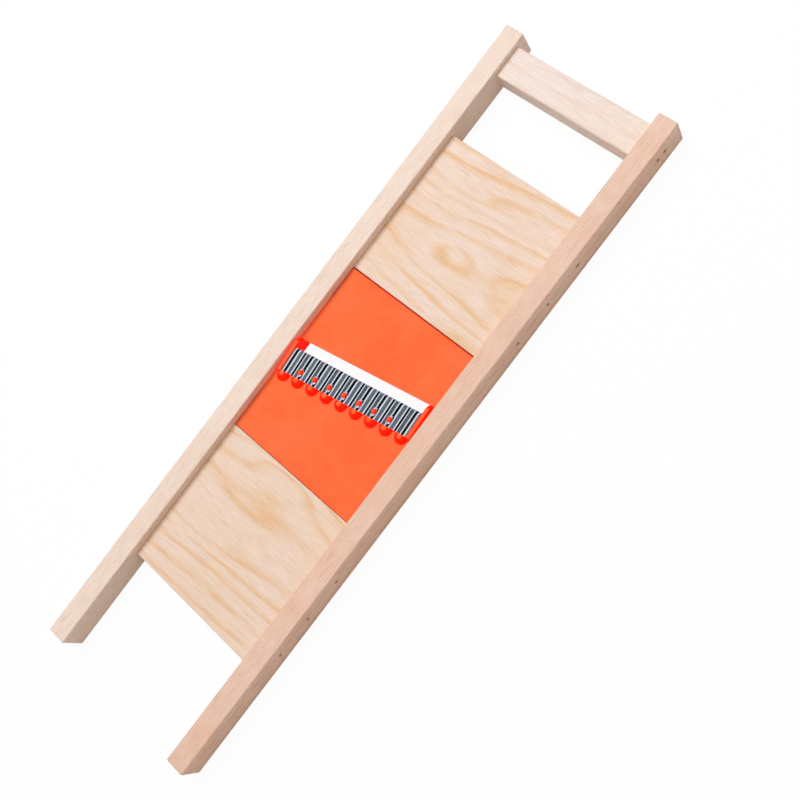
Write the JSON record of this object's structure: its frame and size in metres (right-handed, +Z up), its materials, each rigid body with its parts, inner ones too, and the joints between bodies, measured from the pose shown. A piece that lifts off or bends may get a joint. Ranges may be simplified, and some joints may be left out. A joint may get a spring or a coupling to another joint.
{
  "type": "potato slicer",
  "caption": "Hand potato slicer: wooden rails, boards and handle bar around a moulded insert with a slanted corrugated blade.",
  "frame": {"origin": "middle of the frame on the face that it rests on, under the rails", "axes": "+X across the rails to the right, +Y along the rails towards the handle bar, +Z up out of the slicing face"},
  "size_m": [0.12, 0.432, 0.0186],
  "materials": {
    "rail_wood": "planed and sanded, unvarnished",
    "bar_wood": "planed and sanded, unvarnished",
    "board_wood": "sanded, unvarnished, grain across the frame",
    "insert_plastic": "moulded, satin",
    "blade_steel": "bright rolled stainless sheet",
    "nail_steel": "plain wire nail, dulled"
  },
  "bodies": {
    "root": {"left_rail": "rail_wood", "right_rail": "rail_wood", "handle_bar": "bar_wood", "upper_board": "board_wood", "lower_board": "board_wood", "insert": "insert_plastic", "blade": "blade_steel", "handle_nails_left": "nail_steel", "handle_nails_right": "nail_steel", "upper_board_nails_left": "nail_steel", "upper_board_nails_right": "nail_steel", "lower_board_nails_left": "nail_steel", "lower_board_nails_right": "nail_steel"}
  },
  "joints": []
}
